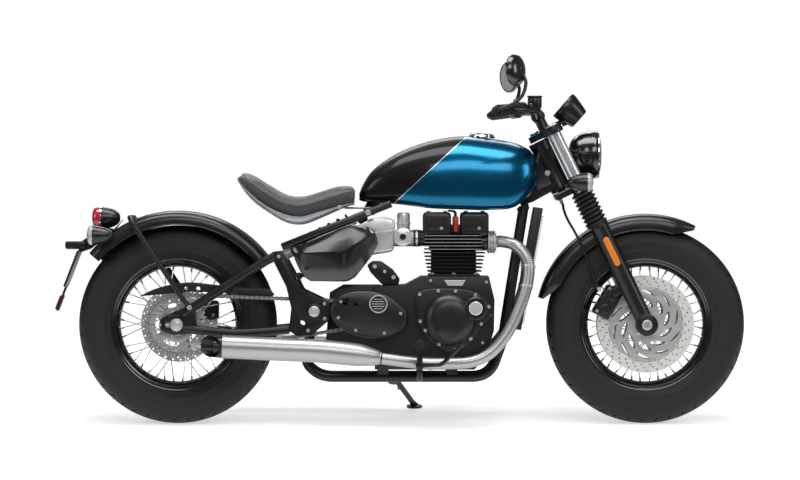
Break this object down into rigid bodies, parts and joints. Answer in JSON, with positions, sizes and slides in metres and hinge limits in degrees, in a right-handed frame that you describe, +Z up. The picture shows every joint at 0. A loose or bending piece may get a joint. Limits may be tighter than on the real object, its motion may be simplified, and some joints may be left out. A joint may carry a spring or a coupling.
{
  "type": "bobber motorcycle",
  "caption": "Bobber motorcycle with wire wheels, twin-cylinder engine, low tank and solo seat, leaning on its side stand.",
  "frame": {"origin": "centre of the bounding box at ground level, where both tyres and the side stand's foot rest", "axes": "+X forward, +Y to the machine's left, where its stand is, +Z up; the machine leans 7 degrees to the left"},
  "size_m": [2.181, 0.9202, 1.21],
  "materials": {
    "frame_black": "satin black paint",
    "guard_black": "gloss black paint",
    "tank_paint": "metallic blue front, satin black rear",
    "pan_metal": "satin aluminium",
    "pad_cover": "grey-black vinyl",
    "tyre_rubber": "matt rubber",
    "wheel_black": "satin black rim and hub with steel spokes",
    "disc_steel": "ground brake disc",
    "sprocket_steel": "zinc-plated steel",
    "chain_steel": "oiled steel",
    "axle_steel": "bright steel",
    "fork_steel": "black slider and rubber gaiter, chrome tube",
    "mirror_black": "gloss black shell with mirror glass",
    "indicator_plastic": "black body with clear lens",
    "lamp_black": "gloss black shell with glass lens",
    "instrument": "black case with pale dial",
    "hose_rubber": "braided hose in rubber",
    "engine_black": "satin black with machined fin edges",
    "cover_black": "black plastic",
    "intake_metal": "cast aluminium",
    "exhaust_steel": "brushed stainless steel with black tip",
    "cap_chrome": "polished",
    "spring_black": "gloss black coil",
    "guard_plastic": "black plastic",
    "caliper_black": "satin black",
    "tail_plastic": "red lens in a black shell"
  },
  "bodies": {
    "chassis": {"frame_neck": "frame_black", "frame_cradle_right": "frame_black", "frame_cradle_left": "frame_black", "frame_rear_right": "frame_black", "frame_rear_left": "frame_black", "rear_axle": "axle_steel", "swingarm_pivot": "frame_black", "rear_spring": "spring_black", "electrics_box": "cover_black", "cage_right": "frame_black", "cage_left": "frame_black", "swingarm_right": "frame_black", "swingarm_left": "frame_black", "side_panel_right": "cover_black", "side_panel_left": "cover_black", "exhaust_right": "exhaust_steel", "exhaust_left": "exhaust_steel", "footrest_right": "frame_black", "footrest_left": "frame_black", "crankcase": "engine_black", "cylinders": "engine_black", "cylinder_head": "engine_black", "clutch_cover": "engine_black", "sprocket_cover": "cover_black", "intake": "intake_metal", "radiator": "cover_black", "tank": "tank_paint", "tank_cap": "cap_chrome", "seat_pan": "pan_metal", "seat_pad": "pad_cover", "rear_mudguard": "guard_black", "mudguard_stay": "frame_black", "tail_lamp": "tail_plastic", "plate_carrier": "frame_black", "chain": "chain_steel", "chain_guard": "guard_plastic", "rear_caliper": "caliper_black"},
    "stand": {"side_stand": "frame_black"},
    "steering": {"front_axle": "axle_steel", "fork_leg_right": "fork_steel", "fork_leg_left": "fork_steel", "mirror_right": "mirror_black", "mirror_left": "mirror_black", "front_indicator_right": "indicator_plastic", "front_indicator_left": "indicator_plastic", "lower_yoke": "frame_black", "top_yoke": "frame_black", "handlebar": "frame_black", "headlamp": "lamp_black", "speedometer": "instrument", "front_mudguard": "guard_black", "brake_hose": "hose_rubber"},
    "front_wheel": {"front_tyre": "tyre_rubber", "front_wheel": "wheel_black", "front_disc_right": "disc_steel", "front_disc_left": "disc_steel"},
    "rear_wheel": {"rear_tyre": "tyre_rubber", "rear_wheel": "wheel_black", "rear_disc": "disc_steel", "rear_sprocket": "sprocket_steel"}
  },
  "joints": [
    {"name": "steering", "type": "hinge", "parent": "chassis", "child": "steering", "pos_m": [0.72417, -0.07166, 0.29076], "axis": [-0.4337, 0.1098, 0.8944], "range_deg": [-33, 33]},
    {"name": "front_wheel_spin", "type": "hinge", "parent": "steering", "child": "front_wheel", "pos_m": [0.77373, -0.06875, 0.31444], "axis": [0, 0.9925, -0.1219], "continuous": true},
    {"name": "rear_wheel_spin", "type": "hinge", "parent": "chassis", "child": "rear_wheel", "pos_m": [-0.72627, -0.06875, 0.31444], "axis": [0, 0.9925, -0.1219], "continuous": true},
    {"name": "side_stand", "type": "hinge", "parent": "chassis", "child": "stand", "pos_m": [-0.03627, 0.04802, 0.11673], "axis": [0.0948, 0.6122, 0.785], "range_deg": [0, 104]}
  ]
}
